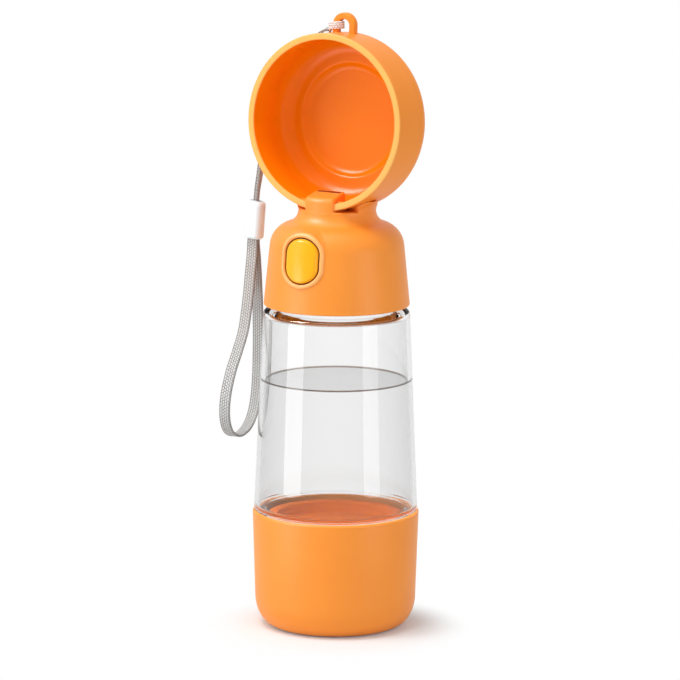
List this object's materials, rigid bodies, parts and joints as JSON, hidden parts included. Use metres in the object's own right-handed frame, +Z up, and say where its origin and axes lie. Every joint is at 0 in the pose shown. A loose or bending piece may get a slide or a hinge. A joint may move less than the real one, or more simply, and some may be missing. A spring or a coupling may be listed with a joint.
{
  "type": "dog travel water bottle",
  "caption": "Upright travel water bottle for dogs: clear tank on a screw-on base cup, push-button head, round drinking bowl that folds down, and a wrist loop.",
  "frame": {"origin": "centre of the base cup's underside, on the surface it stands on", "axes": "+Z up the bottle, -Y the way the bowl's mouth and the button face, +X to the right of someone who looks along +Y at the button"},
  "size_m": [0.0839, 0.0722, 0.2665],
  "materials": {
    "orange": "soft-touch matte polypropylene",
    "deep_orange": "satin polypropylene",
    "yellow": "smooth moulded",
    "clear": "clear moulded copolyester",
    "silicone": "food-grade silicone",
    "steel": "drawn stainless",
    "white": "smooth acetal",
    "webbing": "flat woven polyester"
  },
  "bodies": {
    "base": {"base_cup": "orange", "base_seal": "silicone"},
    "tank": {"tank": "clear"},
    "head": {"housing": "orange", "threaded_collar": "deep_orange", "outlet_duct": "white", "duct_seal": "silicone", "duct_screws": "steel", "vent_valve": "silicone", "neck_gasket": "silicone", "rod_seal": "silicone", "rod_seal_cap": "white", "hinge_pin": "steel", "return_spring": "steel"},
    "button": {"button": "yellow", "push_rod": "white"},
    "valve": {"valve_plunger": "white", "valve_plug": "silicone"},
    "bowl": {"bowl": "deep_orange"},
    "lanyard": {"upper_strap": "webbing", "slider_bead": "white", "wrist_loop": "webbing"}
  },
  "joints": [
    {"name": "tank_lift", "type": "slide", "parent": "base", "child": "tank", "axis": [0, 0, 1], "range_m": [0, 0.03]},
    {"name": "head_lift", "type": "slide", "parent": "tank", "child": "head", "axis": [0, 0, 1], "range_m": [0, 0.04]},
    {"name": "button_press", "type": "slide", "parent": "head", "child": "button", "axis": [0, 1, 0], "range_m": [0, 0.0022], "stiffness_N_per_m": 800, "springref_m": -0.002, "deforming": ["return_spring"]},
    {"name": "valve_open", "type": "slide", "parent": "head", "child": "valve", "axis": [0, 0, -1], "range_m": [0, 0.0022]},
    {"name": "bowl_hinge", "type": "hinge", "parent": "head", "child": "bowl", "pos_m": [0, -0.0115, 0.18605], "axis": [1, 0, 0], "range_deg": [0, 162]},
    {"name": "lanyard_swing", "type": "hinge", "parent": "bowl", "child": "lanyard", "pos_m": [0, 0.00574, 0.26088], "axis": [1, 0, 0], "range_deg": [-164, 2]}
  ],
  "couplings": [
    {"joint": "valve_open", "follows": "button_press", "ratio": 1},
    {"joint": "lanyard_swing", "follows": "bowl_hinge", "ratio": -1}
  ]
}
